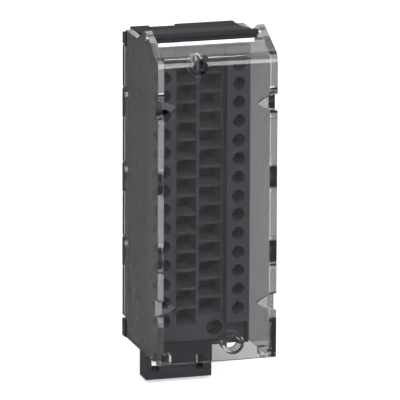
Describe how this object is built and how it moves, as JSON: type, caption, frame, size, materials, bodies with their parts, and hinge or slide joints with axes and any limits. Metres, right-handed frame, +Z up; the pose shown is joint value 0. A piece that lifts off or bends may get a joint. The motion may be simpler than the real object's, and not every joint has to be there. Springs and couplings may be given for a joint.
{
  "type": "removable terminal block",
  "caption": "Tall narrow plug-in terminal block with two staggered columns of wire entries, a clear hinged cover, captive fixing screws and a cable-tie foot.",
  "frame": {"origin": "on the rear seat, midway between the two fixing screws", "axes": "+Z up along the columns of terminals, +X to the right seen from the front, -Y out of the front, +Y into the module"},
  "size_m": [0.032, 0.0375, 0.0947],
  "materials": {
    "clear_plastic": "clear, polished",
    "dark_plastic": "fine satin",
    "dark_plastic_carrier": "fine satin",
    "contact_metal": "tin plated",
    "spring_steel": "rolled",
    "zinc_steel": "zinc plated"
  },
  "bodies": {
    "base": {"carrier": "dark_plastic_carrier", "terminal_block": "dark_plastic", "springs_left": "spring_steel", "springs_right": "spring_steel", "contact_left_01": "contact_metal", "contact_left_02": "contact_metal", "contact_left_03": "contact_metal", "contact_left_04": "contact_metal", "contact_left_05": "contact_metal", "contact_left_06": "contact_metal", "contact_left_07": "contact_metal", "contact_left_08": "contact_metal", "contact_left_09": "contact_metal", "contact_left_10": "contact_metal", "contact_left_11": "contact_metal", "contact_left_12": "contact_metal", "contact_left_13": "contact_metal", "contact_left_14": "contact_metal", "contact_right_01": "contact_metal", "contact_right_02": "contact_metal", "contact_right_03": "contact_metal", "contact_right_04": "contact_metal", "contact_right_05": "contact_metal", "contact_right_06": "contact_metal", "contact_right_07": "contact_metal", "contact_right_08": "contact_metal", "contact_right_09": "contact_metal", "contact_right_10": "contact_metal", "contact_right_11": "contact_metal", "contact_right_12": "contact_metal", "contact_right_13": "contact_metal", "contact_right_14": "contact_metal"},
    "cover": {"cover": "clear_plastic"},
    "ring_top": {"ring_top": "zinc_steel"},
    "screw_top": {"screw_top": "zinc_steel"},
    "ring_bottom": {"ring_bottom": "zinc_steel"},
    "screw_bottom": {"screw_bottom": "zinc_steel"}
  },
  "joints": [
    {"name": "cover_hinge", "type": "hinge", "parent": "base", "child": "cover", "pos_m": [0, -0.0216, 0.0428], "axis": [-1, 0, 0], "range_deg": [0, 100]},
    {"name": "screw_top_slide", "type": "slide", "parent": "base", "child": "ring_top", "axis": [0, -1, 0], "range_m": [0, 0.004]},
    {"name": "screw_top_turn", "type": "hinge", "parent": "ring_top", "child": "screw_top", "pos_m": [-0.00465, 0, 0.03705], "axis": [0, 1, 0], "continuous": true},
    {"name": "screw_bottom_slide", "type": "slide", "parent": "base", "child": "ring_bottom", "axis": [0, -1, 0], "range_m": [0, 0.004]},
    {"name": "screw_bottom_turn", "type": "hinge", "parent": "ring_bottom", "child": "screw_bottom", "pos_m": [0.00465, 0, -0.03705], "axis": [0, 1, 0], "continuous": true}
  ]
}
